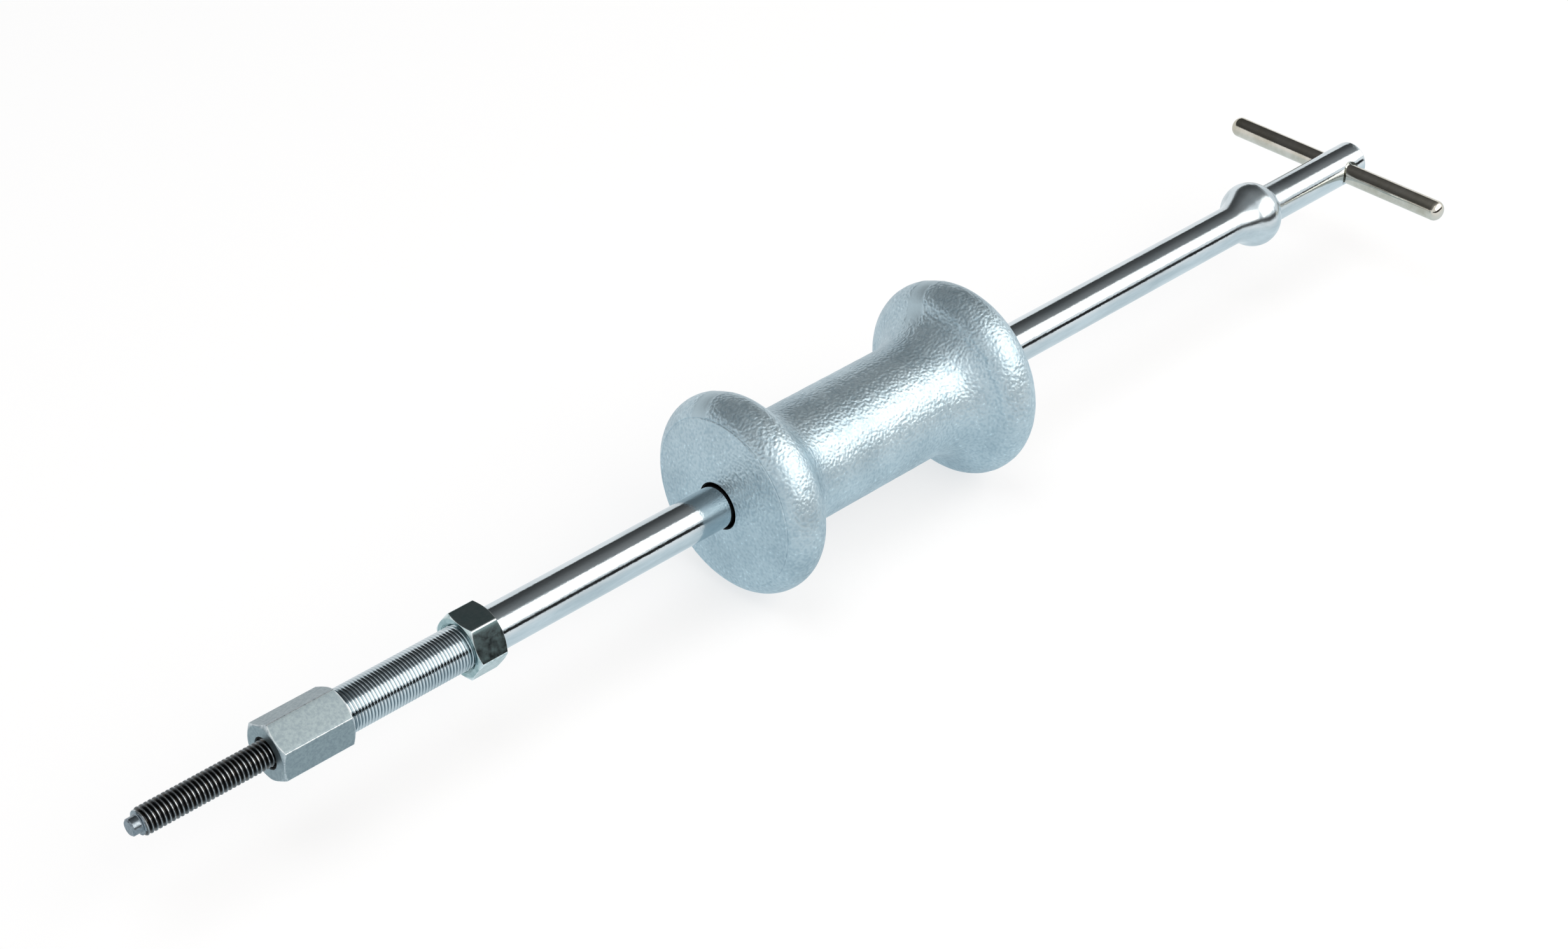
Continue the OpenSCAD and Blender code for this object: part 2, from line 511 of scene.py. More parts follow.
def arcPoints(centre, radius, start, end, step=meshWork["arcStep"]):
    # (station, radius) points along an arc; angles in degrees, 0 pointing away from the axis
    count = max(2, math.ceil(abs(end - start) / step))
    points = []
    for i in range(count + 1):
        a = math.radians(start + (end - start) * i / count)
        points.append((centre[0] + radius * math.sin(a), centre[1] + radius * math.cos(a)))
    return points


def evenly(first, last, count):
    return [
        (
            first[0] + (last[0] - first[0]) * i / count,
            first[1] + (last[1] - first[1]) * i / count,
        )
        for i in range(count + 1)
    ]


def withoutRepeats(points):
    kept = [points[0]]
    for p in points[1:]:
        if math.dist(p, kept[-1]) > meshWork["leastStep"]:
            kept.append(p)
    return kept


def touchAngle(bulgeAt, bulge, wall, hollow):
    # degrees from straight out at which a hollow rising from a wall touches a bulge
    return math.degrees(math.acos((wall + hollow - bulgeAt) / (bulge + hollow)))


def alongBar(station, radius, angle):
    return station, radius * math.cos(angle), radius * math.sin(angle)


def acrossBar(side, radius, angle):
    # round the cross bar's axis instead of the pull bar's
    at = crossBar["at"]
    return at + radius * math.cos(angle), side, radius * math.sin(angle)


def turnedRings(profile, count, place=alongBar):
    return [
        [place(x, r, 2 * math.pi * j / count) for j in range(count)] for x, r in profile
    ]


def addRings(bm, rings):
    # neighbouring rings of corners are joined by a belt of faces
    rows = [[bm.verts.new(toFrame(*corner)) for corner in ring] for ring in rings]
    for a, b in zip(rows, rows[1:]):
        joinRows(bm, a, b)
    return rows


def joinRows(bm, a, b):
    count = len(a)
    for j in range(count):
        k = (j + 1) % count
        bm.faces.new((a[j], b[j], b[k], a[k]))


def closeEnd(bm, row, station, side=0.0):
    # an end closed by a fan to one corner on the axis
    middle = bm.verts.new(toFrame(station, side, 0))
    for j in range(len(row)):
        bm.faces.new((row[j], row[(j + 1) % len(row)], middle))


# One turn of a rolled thread: share of the pitch, share of the depth
threadTurn = [
    (0.00, 0.00),
    (0.09, 0.00),
    (0.14, 0.08),
    (0.28, 0.48),
    (0.41, 0.91),
    (0.47, 1.00),
    (0.56, 1.00),
    (0.62, 0.91),
    (0.75, 0.48),
    (0.88, 0.08),
    (1.00, 0.00),
]


def depthShare(phase):
    for (a, da), (b, db) in zip(threadTurn, threadTurn[1:]):
        if phase <= b:
            return da + (db - da) * (phase - a) / (b - a)
    return 0.0


def addThread(bm, start, end, pitch, count, radiusAt, mark):
    # A right-handed thread as one continuous helical skin between two stations.
    # radiusAt(station, depth) gives the skin's distance from the axis, and
    # mark(corner, depth) notes that corner's share of painted shade in the grooves, or of wear
    # and painted highlight on the crests.
    # Returns its first and last ring. The turns begin before the start and run past the
    # end, and what lies outside is held back to there.
    perTurn = len(threadTurn) - 1
    turns = math.ceil((end - start) / pitch) + 3
    first = start - 2 * pitch
    rows = []
    for n in range(turns * perTurn):
        share = threadTurn[n % perTurn][0]
        row = []
        for j in range(count):
            x = first + pitch * (n // perTurn + share + j / count)
            x = min(max(x, start), end)
            # the depth at the station that the corner was held back to
            depth = depthShare(((x - first) / pitch - j / count) % 1.0)
            r = radiusAt(x, depth)
            corner = bm.verts.new(toFrame(*alongBar(x, r, 2 * math.pi * j / count)))
            mark(corner, depth)
            row.append(corner)
        rows.append(row)
    for n in range(len(rows) - 1):
        a, b = rows[n], rows[n + 1]
        for j in range(count - 1):
            bm.faces.new((a[j], b[j], b[j + 1], a[j + 1]))
        if n + 1 + perTurn < len(rows):
            # the last column meets the first one a turn further on
            bm.faces.new((a[-1], b[-1], rows[n + 1 + perTurn][0], rows[n + perTurn][0]))
    return rows[0], rows[-1]


def finishMesh(bm, name, sharp=meshWork["sharp"]):
    # merges doubled corners, smooths edges below the sharp angle and makes the object
    bmesh.ops.remove_doubles(bm, verts=bm.verts, dist=meshWork["weldDistance"])
    bmesh.ops.dissolve_degenerate(bm, edges=bm.edges, dist=meshWork["leastEdge"])
    bmesh.ops.recalc_face_normals(bm, faces=bm.faces)
    for face in bm.faces:
        face.smooth = True
    mesh = bpy.data.meshes.new(name)
    bm.to_mesh(mesh)
    bm.free()
    mesh.set_sharp_from_angle(angle=math.radians(sharp))
    piece = bpy.data.objects.new(name, mesh)
    bpy.context.scene.collection.objects.link(piece)
    return piece


def placePiece(piece, material, body, node):
    piece.data.materials.append(materials[material])
    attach(piece, body)
    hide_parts(node)


def paintFaces(piece, material, chosen):
    # gives the chosen faces their own material; chosen(station, side, up, normal)
    piece.data.materials.append(materials[material])
    index = len(piece.data.materials) - 1
    for face in piece.data.polygons:
        if chosen(*fromFrame(face.center), face.normal):
            face.material_index = index


# Pull bar with its thread and forged stop collar

bar = {
    "start": 64.3,
    "end": 606.1,
    "radius": 7.9375,
    "endRound": 0.8,
    "startBevel": 1.0,
    "threadEnd": 138.7,
    "pitch": 1.27,
    "threadDepth": 0.66,
    "crestShare": 0.3,        # share of the common thread shape that its wide crests cut off
    "runOut": 2.0,
    "collarAt": 539.0,
    "collarRadius": 13.25,
    "collarRound": 9.7,
    "flareRound": 14.0,
    "hollowRound": 2.5,
    "seamHeight": 0.045,
    "seamWidth": 1.1,
    "forgedHalf": 22.0,       # the skin is satin this far either side of the collar
    "forgedFade": 2.5,
    "flareReach": 18.0,       # even rings end this far before the collar, and
    "hollowReach": 1.0,       # begin again this far behind its hollow
    "nearRings": 96,
    "farRings": 16,
    "collarStep": 1.5,        # degrees between corners
    "endStep": 15.0,
    "around": 96,
}

crossBar = {
    "at": 595.7,
    "radius": 4.2,
    "length": 107.0,
    "endRound": 3.3,
    "deburr": 0.9,
    "holeGap": 0.03,
    "cutReach": 2.0,          # how far the cutter stands out of the bar
    "holeReach": 2.5,         # faces of the hole lie within this of the cross bar, and
    "holeFacing": 0.35,       # they lean towards its axis by at least this much
    "endStep": 6.0,
    "rings": 6,
    "around": 72,
}


def collarProfile():
    v = bar
    centre = v["collarRadius"] - v["collarRound"]
    flare = touchAngle(centre, v["collarRound"], v["radius"], v["flareRound"])
    hollow = touchAngle(centre, v["collarRound"], v["radius"], v["hollowRound"])
    flareRun = (v["collarRound"] + v["flareRound"]) * math.sin(math.radians(flare))
    hollowRun = (v["collarRound"] + v["hollowRound"]) * math.sin(math.radians(hollow))
    x = v["collarAt"]
    points = arcPoints(
        (x - flareRun, v["radius"] + v["flareRound"]), v["flareRound"], 180, 180 - flare
    )
    ball = arcPoints((x, centre), v["collarRound"], -flare, hollow, v["collarStep"])
    for station, radius in ball:
        # the flash line left by the forging dies, cleaned up to a low ridge
        off = min(1.0, abs(station - x) / (v["seamWidth"] / 2))
        points.append((station, radius - v["seamHeight"] * off))
    points += arcPoints(
        (x + hollowRun, v["radius"] + v["hollowRound"]), v["hollowRound"], 180 + hollow, 180
    )
    return points


def makeBar():
    v = bar
    bm = bmesh.new()
    # this layer marks how deep each corner lies in the thread, for the painted shade there
    grooveShade = bm.verts.layers.float.new("grooveShade")
    satin = bm.verts.layers.float.new("satin")

    def grooveDepth(depth):
        return max(0.0, (depth - v["crestShare"]) / (1 - v["crestShare"]))

    def radiusAt(x, depth):
        fade = min(1.0, max(0.0, (v["threadEnd"] - x) / v["runOut"]))
        bevel = v["radius"] - v["startBevel"] + (x - v["start"])
        return min(v["radius"] - grooveDepth(depth) * v["threadDepth"] * fade, bevel)

    def mark(corner, depth):
        corner[grooveShade] = grooveDepth(depth)

    first, last = addThread(
        bm, v["start"], v["threadEnd"], v["pitch"], v["around"], radiusAt, mark
    )
    for corner in last:
        corner[grooveShade] = 0.0
    closeEnd(bm, first, v["start"])
    flare = (v["collarAt"] - v["flareReach"], v["radius"])
    profile = evenly((v["threadEnd"], v["radius"]), flare, v["nearRings"])
    profile += collarProfile()
    tail = (v["end"] - v["endRound"], v["radius"])
    hollow = (profile[-1][0] + v["hollowReach"], v["radius"])
    profile += evenly(hollow, tail, v["farRings"])
    profile += arcPoints(
        (tail[0], tail[1] - v["endRound"]), v["endRound"], 0, 90, v["endStep"]
    )
    profile = withoutRepeats(profile)
    rows = addRings(bm, turnedRings(profile, v["around"]))
    for (station, r), row in zip(profile, rows):
        near = 1.0 - abs(station - v["collarAt"]) / v["forgedHalf"]
        for corner in row:
            corner[satin] = min(1.0, max(0.0, v["forgedFade"] * near))
    closeEnd(bm, rows[-1], v["end"])
    return finishMesh(bm, "pullBar")


def makeHoleCutter():
    # the hole for the cross bar, its edge deburred all the way round the bar's surface
    v = crossBar
    radius = v["radius"] + v["holeGap"]

    def addEdge(rings, beyond, facing):
        # a ring this far beyond the bar's surface, and as much wider than the burr
        out = radius + v["deburr"] + beyond
        ring = []
        for j in range(v["around"]):
            station, side, up = acrossBar(0, out, 2 * math.pi * j / v["around"])
            skin = math.sqrt(bar["radius"] ** 2 - min(up ** 2, bar["radius"] ** 2))
            ring.append((station, facing * (skin + beyond), up))
        rings.append(ring)

    rings = []
    for facing, steps in ((-1, (v["deburr"], -v["deburr"])), (1, (-v["deburr"], v["deburr"]))):
        for beyond in steps:
            addEdge(rings, beyond, facing)
    bm = bmesh.new()
    rows = addRings(bm, rings)
    reach = bar["radius"] + v["cutReach"]
    closeEnd(bm, rows[0], v["at"], -reach)
    closeEnd(bm, rows[-1], v["at"], reach)
    return finishMesh(bm, "holeCutter")


def cutHole(piece, cutter):
    # cuts the hole for good, so that no modifier and no cutter is left
    step = piece.modifiers.new("hole", "BOOLEAN")
    step.operation = "DIFFERENCE"
    step.solver = "EXACT"
    step.object = cutter
    bpy.context.view_layer.update()
    cut = bpy.data.meshes.new_from_object(
        piece.evaluated_get(bpy.context.evaluated_depsgraph_get())
    )
    piece.modifiers.clear()
    piece.data = cut
    bpy.data.objects.remove(cutter)
    cut.set_sharp_from_angle(angle=math.radians(meshWork["sharp"]))


def isHoleWall(station, side, up, normal):
    # faces of the cross hole and its bevel point towards the cross bar's axis
    inwards = Vector((station - crossBar["at"], 0.0, up))
    away = inwards.length
    near = away < crossBar["radius"] + crossBar["holeReach"]
    return near and normal.dot(inwards) < -crossBar["holeFacing"] * away


pullBar = makeBar()
cutHole(pullBar, makeHoleCutter())
placePiece(pullBar, "bar", "bar", "puller_rod")
# the cross hole's wall and bevel take the dark steel and painted shade
paintFaces(pullBar, "edge", isHoleWall)
print("pull bar made:", len(pullBar.data.vertices), "corners")


def makeCrossBar():
    v = crossBar
    half = v["length"] / 2
    flat = v["radius"] - v["endRound"]
    profile = arcPoints((half - v["endRound"], flat), v["endRound"], 90, 0, v["endStep"])
    profile += evenly((half - v["endRound"], v["radius"]), (0.0, v["radius"]), v["rings"])
    profile += [(-side, r) for side, r in reversed(profile)]
    bm = bmesh.new()
    rows = addRings(bm, turnedRings(withoutRepeats(profile), v["around"], acrossBar))
    bm.faces.new(rows[0])
    bm.faces.new(rows[-1])
    return finishMesh(bm, "crossBar")


placePiece(makeCrossBar(), "crossBar", "bar", "tommy_bar")
print("cross bar made")


# Draw stud

stud = {
    "dogRadius": 3.0,
    "dogBevel": 0.5,
    "dogLength": 3.4,
    "neckRound": 0.5,
    "shoulderRadius": 4.25,
    "bevelLength": 1.2,
    "radius": 4.7625,
    "end": 63.3,
    "pitch": 1.5875,
    "threadDepth": 0.974,
    "endSlope": 0.7,          # the thread's taper at its hidden end
    "crestWearAndHighlight": 8.0,         # the crest's rubbed wear and painted highlight are gone at one part in this of the depth
    "tipReach": 0.35,         # the bare turned tip takes in this much of the shoulder
    "neckStep": 15.0,
    "around": 64,
}


def makeStud():
    v = stud
    bm = bmesh.new()
    wearAndHighlight = bm.verts.layers.float.new("wearAndHighlight")

    def radiusAt(x, depth):
        slope = (v["radius"] - v["shoulderRadius"]) / v["bevelLength"]
        front = v["shoulderRadius"] + (x - v["dogLength"]) * slope
        back = v["shoulderRadius"] + (v["end"] - x) * v["endSlope"]
        return min(v["radius"] - depth * v["threadDepth"], front, back)

    def mark(corner, depth):
        corner[wearAndHighlight] = max(0.0, 1.0 - depth * v["crestWearAndHighlight"])

    first, last = addThread(
        bm, v["dogLength"], v["end"], v["pitch"], v["around"], radiusAt, mark
    )
    closeEnd(bm, last, v["end"])
    profile = [(0.0, v["dogRadius"] - v["dogBevel"]), (v["dogBevel"], v["dogRadius"])]
    profile += arcPoints(
        (v["dogLength"] - v["neckRound"], v["dogRadius"] + v["neckRound"]),
        v["neckRound"],
        180,
        90,
        v["neckStep"],
    )
    rows = addRings(bm, turnedRings(profile, v["around"]))
    closeEnd(bm, rows[0], 0.0)
    joinRows(bm, rows[-1], first)
    return finishMesh(bm, "drawStud")


studPiece = makeStud()
placePiece(studPiece, "stud", "stud", "draw_stud")
paintFaces(
    studPiece,
    "tip",
    lambda station, side, up, normal: station < stud["dogLength"] + stud["tipReach"],
)
print("draw stud made:", len(studPiece.data.vertices), "corners")


# Lock nut and adapter, both cut from hexagon bar

lockNut = {
    "at": 126.7,
    "length": 12.0,
    "flats": 21.3,
    "turn": 4.3,
    "bevel": 1.0,
    "hole": 7.9875,
    "frontSink": 1.0,
    "backHole": 7.9875,
    "backSink": 1.0,
    "cornerRound": 0.9,
    "edgeRound": 0.26,
}

hexAdapter = {
    "at": 50.3,
    "length": 27.7,
    "flats": 19.5,
    "turn": 34.0,
    "bevel": 1.0,
    "hole": 4.295,
    "frontSink": 1.5,
    "backHole": 7.9875,
    "backDepth": 13.7,
    "backSink": 0.6,
    "cornerRound": 0.4,
    "edgeRound": 0.14,
    "studHoleDepth": 9.0,     # painted shade goes this far into the stud's hole
    "studHoleRim": 0.05,
}

# what the two share
hexCut = {
    "sides": 6,
    "bevelAngle": 30.0,       # slope of the cone that takes off the corners
    "wornAndHighlightWidth": 0.5,         # width of the line of rubbed wear and painted highlight inside each bevelled edge
    "flatSteps": 5,           # along half a flat
    "cornerSteps": 9,
    "sinkTurns": 3,           # thread turns that end in a countersink
    "sinkRun": 0.75,          # share of each that follows the cone before its step
    "sinkLip": 0.05,          # height of the step as a share of the countersink's width
    "sharp": 28.0,
    "softened": 24.0,         # edges that bend more than this many degrees are rounded
}


def hexCorners(flats, cornerRound):
    # (degrees from a flat's middle, distance from the axis, on a corner) once round
    flatSteps, cornerSteps = hexCut["flatSteps"], hexCut["cornerSteps"]
    apothem = flats / 2
    half = 180.0 / hexCut["sides"]
    centre = (apothem - cornerRound) / math.cos(math.radians(half))
    touch = math.degrees(math.atan2(centre * math.sin(math.radians(half)), apothem))
    points = []
    for side in range(hexCut["sides"]):
        middle = side * 2 * half
        for i in range(1 - flatSteps, flatSteps + 1):
            a = touch * i / flatSteps
            points.append((middle + a, apothem / math.cos(math.radians(a)), 0.0))
        for i in range(1, cornerSteps):
            a = touch + (2 * half - 2 * touch) * i / cornerSteps
            lean = math.radians(half - a)
            out = centre * math.cos(lean) + math.sqrt(
                cornerRound ** 2 - (centre * math.sin(lean)) ** 2
            )
            points.append((middle + a, out, 1.0))
        points.append((middle + 2 * half - touch, apothem / math.cos(math.radians(touch)), 0.0))
    return points


def makeHex(name, v):
    bm = bmesh.new()
    wearAndHighlight = bm.verts.layers.float.new("wearAndHighlight")
    around = hexCorners(v["flats"], v["cornerRound"])
    half = 180.0 / hexCut["sides"]
    slope = math.tan(math.radians(hexCut["bevelAngle"]))
    widest = v["flats"] / 2 / math.cos(math.radians(half))
    faceRadius = widest - v["bevel"] / slope
    front, back = v["at"], v["at"] + v["length"]
    rings = []

    def addRound(station, radius):
        rings.append([(station, radius, 0.0)] * len(around))

    def addOutline(station, into, edge):
        # the hexagon's edge, cut back where the bevel cone passes through it;
        # into is 1 or -1, towards the middle of the piece
        rings.append([
            (station + into * max(0.0, out - faceRadius) * slope, out, max(edge, corner))
            for degrees, out, corner in around
        ])

    def addSink(mouth, hole, width, into):
        # a countersink with the ends of the first thread turns showing as steps
        turns = hexCut["sinkTurns"]
        for i in range(turns + 1):
            share = i / turns
            addRound(mouth + into * width * share, hole + width * (1 - share))
            if i < turns:
                addRound(
                    mouth + into * width * (share + hexCut["sinkRun"] / turns),
                    hole + width * (1 - share) - width * hexCut["sinkLip"],
                )

    addSink(front, v["hole"], v["frontSink"], 1)
    rings.reverse()
    addRound(front, faceRadius)
    # the outline at each face and every rounded corner carry the wear and painted highlight
    addOutline(front, 1, 1.0)
    addOutline(front + hexCut["wornAndHighlightWidth"], 1, 0.0)
    addOutline(back - hexCut["wornAndHighlightWidth"], -1, 0.0)
    addOutline(back, -1, 1.0)
    addRound(back, faceRadius)
    addSink(back, v["backHole"], v["backSink"], -1)
    if "backDepth" in v:
        addRound(back - v["backDepth"], v["backHole"])
        addRound(back - v["backDepth"], v["hole"])
    rows = []
    for ring in rings:
        row = []
        for (station, radius, wornAndHighlight), (degrees, out, corner) in zip(ring, around):
            # a flat's middle lies half a side beyond the piece's first corner
            angle = math.radians(degrees + v["turn"] + half)
            point = bm.verts.new(toFrame(*alongBar(station, radius, angle)))
            point[wearAndHighlight] = wornAndHighlight
            row.append(point)
        rows.append(row)
    for a, b in zip(rows, rows[1:]):
        joinRows(bm, a, b)
    joinRows(bm, rows[-1], rows[0])
    piece = finishMesh(bm, name, hexCut["sharp"])
    edges = piece.modifiers.new("softEdges", "BEVEL")
    edges.width = mm(v["edgeRound"])
    edges.segments = 2
    edges.limit_method = "ANGLE"
    edges.angle_limit = math.radians(hexCut["softened"])
    edges.harden_normals = True
    return piece


# faces in the stud's hole and its countersink, which take the painted shade
def isStudHole(station, side, up, normal):
    v = hexAdapter
    rim = v["hole"] + v["frontSink"] - v["studHoleRim"]
    return station < v["at"] + v["studHoleDepth"] and math.hypot(side, up) < rim


placePiece(makeHex("lockNut", lockNut), "nut", "nut", "lock_nut")
adapterPiece = makeHex("hexAdapter", hexAdapter)
placePiece(adapterPiece, "adapter", "adapter", "hex_adapter")
paintFaces(adapterPiece, "bore", isStudHole)
print("lock nut and adapter made")


# Sliding weight

weight = {
    "at": 245.1,
    "length": 126.0,
    "flangeRadius": 38.1,
    "waistRadius": 22.4,
    "rimRound": 9.9,
    "rimCentre": 9.0,
    "waistRound": 17.5,
    "crown": 2.8,
    "creaseDepth": 0.26,
    "creaseWidth": 0.4,
    "bore": 8.6,
    "boreBevel": 0.5,
    "skinSize": 3.4,
    "skinDepth": 0.14,
    "bandTurn": 68.0,         # degrees from +Y towards +Z
    "bandHalf": 4.1,
    "bandDepth": 0.22,
    "bandFrom": 25.0,         # on the waist's side it fades out at this radius
    "bandFadeOut": 4.0,       # over this much of the radius
    "bandEdge": 0.5,
    "boreRim": 0.02,
    "faceRings": 24,
    "waistRings": 32,
    "arcStep": 2.5,           # degrees between corners along the rim and the hollow
    "sharp": 12.0,            # low, so that the crease round each face stays crisp
    "around": 320,
}


def weightHalf():
    # (depth from the rim of the face, radius, may carry the ground band)
    v = weight
    rim = v["flangeRadius"] - v["rimRound"]
    front = rim + math.sqrt(v["rimRound"] ** 2 - v["rimCentre"] ** 2)
    ball = (front ** 2 + v["crown"] ** 2) / (2 * v["crown"])
    mouth = v["bore"] + v["boreBevel"]

    def crownAt(r):
        return ball - v["crown"] - math.sqrt(ball ** 2 - r ** 2)

    face = [(crownAt(mouth) + v["boreBevel"], v["bore"])]
    for i in range(v["faceRings"] + 1):
        r = mouth + (front - v["creaseWidth"] - mouth) * i / v["faceRings"]
        face.append((crownAt(r), r))
    face.append((v["creaseDepth"], front))
    start = math.degrees(math.atan2(-v["rimCentre"], front - rim))
    lean = touchAngle(rim, v["rimRound"], v["waistRadius"], v["waistRound"])
    run = (v["rimRound"] + v["waistRound"]) * math.sin(math.radians(lean))
    step = v["arcStep"]
    side = arcPoints((v["rimCentre"], rim), v["rimRound"], start + step, lean, step)
    side += arcPoints(
        (v["rimCentre"] + run, v["waistRadius"] + v["waistRound"]),
        v["waistRound"],
        180 + lean,
        180,
        step,
    )
    side += evenly(side[-1], (v["length"] / 2, v["waistRadius"]), v["waistRings"])[1:]
    return [(x, r, False) for x, r in face] + [(x, r, True) for x, r in side]


def makeWeight():
    v = weight
    half = weightHalf()
    points = half + [(v["length"] - x, r, b) for x, r, b in reversed(half[:-1])]
    bm = bmesh.new()
    groundBand = bm.verts.layers.float.new("groundBand")
    rows = []
    for depth, radius, banded in points:
        row = []
        for j in range(v["around"]):
            a = 2 * math.pi * j / v["around"]
            turn = a - math.radians(v["bandTurn"])
            across = abs(radius * math.sin(turn))
            inside = min(1.0, max(0.0, (v["bandHalf"] - across) / v["bandEdge"]))
            outer = min(1.0, max(0.0, (radius - v["bandFrom"]) / v["bandFadeOut"]))
            band = inside * (math.cos(turn) > 0) * outer * banded
            r = radius
            if radius > v["bore"] + v["boreBevel"]:
                spot = Vector(alongBar(depth, radius, a)) / v["skinSize"]
                rough = 0.5 + 0.5 * noise.noise(spot)
                r -= v["skinDepth"] * rough * (1 - band) + v["bandDepth"] * band
            corner = bm.verts.new(toFrame(*alongBar(v["at"] + depth, r, a)))
            corner[groundBand] = band
            row.append(corner)
        rows.append(row)
    for a, b in zip(rows, rows[1:]):
        joinRows(bm, a, b)
    joinRows(bm, rows[-1], rows[0])
    return finishMesh(bm, "slidingWeight", v["sharp"])


# faces of the bore and its bevel, which take the painted shade
def isBoreWall(station, side, up, normal):
    v = weight
    return math.hypot(side, up) < v["bore"] + v["boreBevel"] + v["boreRim"]


weightPiece = makeWeight()
placePiece(weightPiece, "weight", "weight", "slide_weight")
paintFaces(weightPiece, "bore", isBoreWall)
print("sliding weight made:", len(weightPiece.data.vertices), "corners")


# Floor and daylight, in metres like all that follows

studio = {
    "floorHalf": 6.0,
    "floorWhite": "#F7F9FB",
    "mirroredFloorShade": "#E2EEF3",   # painted shade and tint on the floor, seen only in the metal's reflections close to the axis
    "mirrorNear": 0.05,           # distance from the axis, turning to white at mirrorFar
    "mirrorFar": 0.15,
    "dayFill": 0.45,              # strength of the daylight, seen or mirrored it is 1
    "keepShadow": 0.3,            # share of the floor that is lit instead of plain white
    "shadowNear": 0.6,            # distance from the middle, fading out at shadowFar
    "shadowFar": 1.6,
    "mirrorShadow": 0.15,
}


def addRayMasks(tree):
    # 1 for rays from the camera, and 1 for rays off metal or through glass
    rays = addNode(tree, "ShaderNodeLightPath")
    mirrored = addNode(
        tree,
        "ShaderNodeMath",
        {"operation": "MAXIMUM"},
        {0: (rays, "Is Glossy Ray"), 1: (rays, "Is Transmission Ray")},
    )
    return rays, mirrored


def makeWorld():
    world = bpy.data.worlds.new("studioDaylight")
    bpy.context.scene.world = world
    world.use_nodes = True
    tree = world.node_tree
    tree.nodes.clear()
    rays, mirrored = addRayMasks(tree)
    seen = addNode(
        tree,
        "ShaderNodeMath",
        {"operation": "MAXIMUM"},
        {0: (rays, "Is Camera Ray"), 1: (mirrored, "Value")},
    )
    strength = addNode(
        tree,
        "ShaderNodeMapRange",
        {"To Min": studio["dayFill"], "To Max": 1.0},
        {"Value": (seen, "Value")},
    )
    sky = addNode(
        tree,
        "ShaderNodeBackground",
        {"Color": grey(1.0)},
        {"Strength": (strength, "Result")},
    )
    addNode(tree, "ShaderNodeOutputWorld", None, {"Surface": (sky, "Background")})


def makeFloor():
    size = studio["floorHalf"]
    mesh = bpy.data.meshes.new("floor")
    mesh.from_pydata(
        [(-size, -size, 0), (size, -size, 0), (size, size, 0), (-size, size, 0)],
        [],
        [(0, 1, 2, 3)],
    )
    floor = bpy.data.objects.new("floor", mesh)
    bpy.context.scene.collection.objects.link(floor)
    material, tree = newMaterial("paleTableTop", studio["floorWhite"])
    rays, mirrored = addRayMasks(tree)
    matt = addNode(
        tree, "ShaderNodeBsdfDiffuse", {"Color": linearColour(studio["floorWhite"])}
    )
    coordinates = addNode(tree, "ShaderNodeTexCoord")
    parts = addNode(
        tree, "ShaderNodeSeparateXYZ", None, {"Vector": (coordinates, "Object")}
    )
    away = addNode(tree, "ShaderNodeMath", {"operation": "ABSOLUTE"}, {0: (parts, "Y")})
    near = addNode(
        tree,
        "ShaderNodeMapRange",
        {
            "From Min": studio["mirrorNear"],
            "From Max": studio["mirrorFar"],
            "To Min": 1.0,
            "To Max": 0.0,
        },
        {"Value": (away, "Value")},
    )
    # painted shade: the floor turns darker and bluer near the axis for reflected rays only
    tinted = addNode(
        tree,
        "ShaderNodeMath",
        {"operation": "MULTIPLY"},
        {0: (mirrored, "Value"), 1: (near, "Result")},
    )
    tint = addNode(
        tree,
        "ShaderNodeMix",
        {
            "data_type": "RGBA",
            mixA: grey(1.0),
            mixB: linearColour(studio["mirroredFloorShade"]),
        },
        {0: (tinted, "Value")},
    )
    glow = addNode(tree, "ShaderNodeEmission", {"Strength": 1.0}, {"Color": (tint, mixOut)})
    reach = addNode(
        tree, "ShaderNodeVectorMath", {"operation": "LENGTH"}, {0: (coordinates, "Object")}
    )
    unlit = addNode(
        tree,
        "ShaderNodeMapRange",
        {
            "From Min": studio["shadowNear"],
            "From Max": studio["shadowFar"],
            "To Min": 1.0 - studio["keepShadow"],
            "To Max": 1.0,
        },
        {"Value": (reach, "Value")},
    )
    plain = addNode(
        tree,
        "ShaderNodeMath",
        {"operation": "MULTIPLY"},
        {0: (rays, "Is Camera Ray"), 1: (unlit, "Result")},
    )
    share = addNode(
        tree,
        "ShaderNodeMath",
        {"operation": "MULTIPLY_ADD", 1: 1.0 - studio["mirrorShadow"]},
        {0: (mirrored, "Value"), 2: (plain, "Value")},
    )
    mix = addNode(
        tree,
        "ShaderNodeMixShader",
        None,
        {"Fac": (share, "Value"), 1: (matt, "BSDF"), 2: (glow, "Emission")},
    )
    addNode(tree, "ShaderNodeOutputMaterial", None, {"Surface": (mix, "Shader")})
    mesh.materials.append(material)


# Plain grey cards that the metal mirrors in the white room, so that its edges show. Each
# is part of a wide tube round the bar's axis: its span along X in metres, and its grey by
# the angle round the axis in degrees, from +Y over the top to -Y. None leaves a gap.
cardTube = 0.36
cardSides = 24
cards = {
    "endCard": {
        "along": (-0.75, -0.345),
        "greys": [(20, None), (30, 0.2), (100, 0.2), (115, None)],
    },
    "topCard": {
        "along": (-0.345, 0.78),
        "greys": [(22, None), (30, 0.05), (60, 0.1), (105, 0.3), (118, None)],
    },
    "lowCard": {
        "along": (-0.345, 0.78),
        "greys": [(166, None), (170, 0.02), (184, 0.02), (188, None)],
    },
}


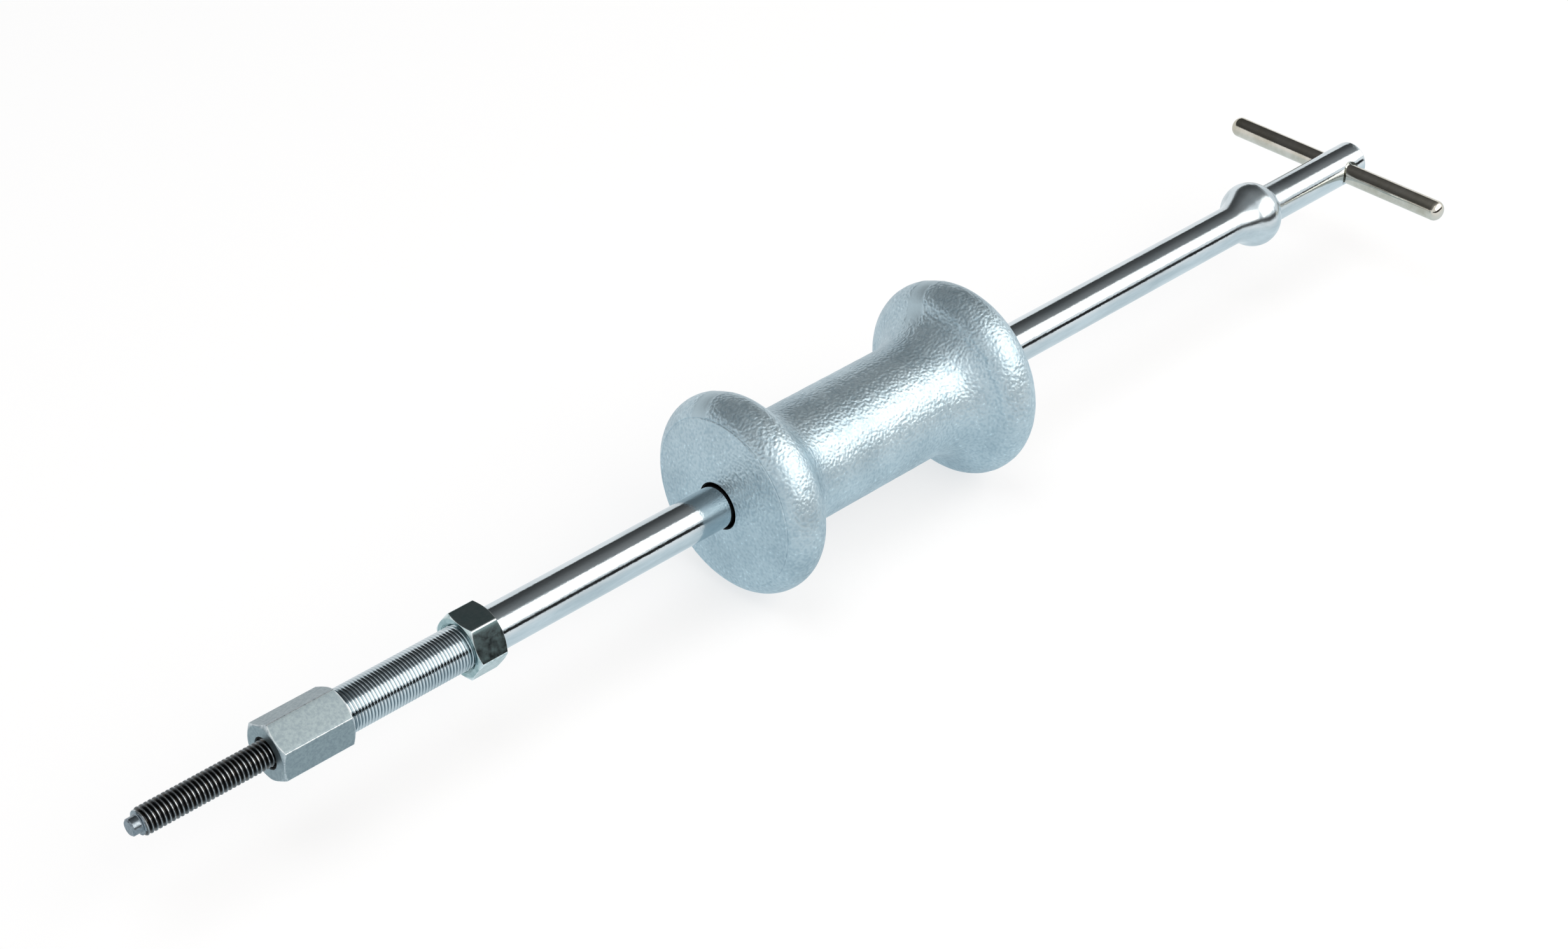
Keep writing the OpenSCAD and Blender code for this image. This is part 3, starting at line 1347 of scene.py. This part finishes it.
def makeCard(name, v):
    start, end = v["greys"][0][0], v["greys"][-1][0]
    corners = []
    for i in range(cardSides + 1):
        a = math.radians(start + (end - start) * i / cardSides)
        for x in v["along"]:
            corners.append((x, cardTube * math.cos(a), cardTube * math.sin(a)))
    faces = [(2 * i, 2 * i + 1, 2 * i + 3, 2 * i + 2) for i in range(cardSides)]
    mesh = bpy.data.meshes.new(name)
    mesh.from_pydata(corners, [], faces)
    sheet = bpy.data.objects.new(name, mesh)
    sheet.location.z = mm(tool["axisHeight"])
    bpy.context.scene.collection.objects.link(sheet)
    material, tree = newMaterial(name + "Paint", "#808080")
    coordinates = addNode(tree, "ShaderNodeTexCoord")
    parts = addNode(
        tree, "ShaderNodeSeparateXYZ", None, {"Vector": (coordinates, "Object")}
    )
    angle = addNode(
        tree, "ShaderNodeMath", {"operation": "ARCTAN2"}, {0: (parts, "Z"), 1: (parts, "Y")}
    )
    turns = addNode(
        tree,
        "ShaderNodeMath",
        {"operation": "DIVIDE", 1: 2 * math.pi},
        {0: (angle, "Value")},
    )
    share = addNode(
        tree, "ShaderNodeMath", {"operation": "FRACT"}, {0: (turns, "Value")}
    )
    colour = addNode(
        tree,
        "ShaderNodeValToRGB",
        None,
        {"Fac": (share, "Value")},
        [
            (degrees / 360.0, (1.0, 1.0, 1.0, 0.0) if level is None else grey(level))
            for degrees, level in v["greys"]
        ],
    )
    glow = addNode(
        tree, "ShaderNodeEmission", {"Strength": 1.0}, {"Color": (colour, "Color")}
    )
    gap = addNode(tree, "ShaderNodeBsdfTransparent")
    mix = addNode(
        tree,
        "ShaderNodeMixShader",
        None,
        {"Fac": (colour, "Alpha"), 1: (gap, "BSDF"), 2: (glow, "Emission")},
    )
    addNode(tree, "ShaderNodeOutputMaterial", None, {"Surface": (mix, "Shader")})
    mesh.materials.append(material)
    sheet.visible_camera = False
    sheet.visible_diffuse = False
    sheet.visible_shadow = False
    sheet.visible_transmission = False


lamps = {
    "keySoftbox": {
        "place": (0.6, -1.18, 1.12),
        "target": (0.0, 0.0, 0.04),
        "size": (3.2, 1.3),
        "watts": 29.5,
        "colour": "#FFF4EA",
    },
    "topSoftbox": {
        "place": (-0.3, 0.2, 1.9),
        "target": (0.0, 0.0, 0.04),
        "size": (1.6, 1.2),
        "watts": 14.0,
        "colour": "#FFFFFF",
    },
}


def makeLamp(name, v):
    light = bpy.data.lights.new(name, "AREA")
    light.shape = "RECTANGLE"
    light.size, light.size_y = v["size"]
    light.energy = v["watts"]
    light.color = linearColour(v["colour"])[:3]
    lamp = bpy.data.objects.new(name, light)
    bpy.context.scene.collection.objects.link(lamp)
    aim = Vector(v["target"]) - Vector(v["place"])
    lamp.rotation_euler = aim.to_track_quat("-Z", "Y").to_euler()
    lamp.location = v["place"]


makeWorld()
makeFloor()
for name, values in cards.items():
    makeCard(name, values)
for name, values in lamps.items():
    makeLamp(name, values)
print("studio made:", len(cards), "cards,", len(lamps), "lamps")


# Camera, at the photograph's viewing angle; lens and film in millimetres

view = {
    "place": (-0.61781, -0.61108, 0.62297),
    "right": (0.7197, -0.6943, 0.0),
    "up": (0.3948, 0.4093, 0.8226),
    "look": (0.57107, 0.59202, -0.56867),
    "lens": 66.55,
    "filmWidth": 36.0,
    "clipStart": 0.01,
}


def makeCamera():
    lens = bpy.data.cameras.new("photoView")
    lens.lens = view["lens"]
    lens.sensor_width = view["filmWidth"]
    lens.clip_start = view["clipStart"]
    camera = bpy.data.objects.new("photoView", lens)
    bpy.context.scene.collection.objects.link(camera)
    right, up, look = (Vector(view[k]) for k in ("right", "up", "look"))
    turn = Matrix((right, up, -look)).transposed().to_4x4()
    camera.matrix_world = Matrix.Translation(Vector(view["place"])) @ turn
    bpy.context.scene.camera = camera


makeCamera()
bpy.context.scene.view_settings.view_transform = "Standard"
print("camera set")
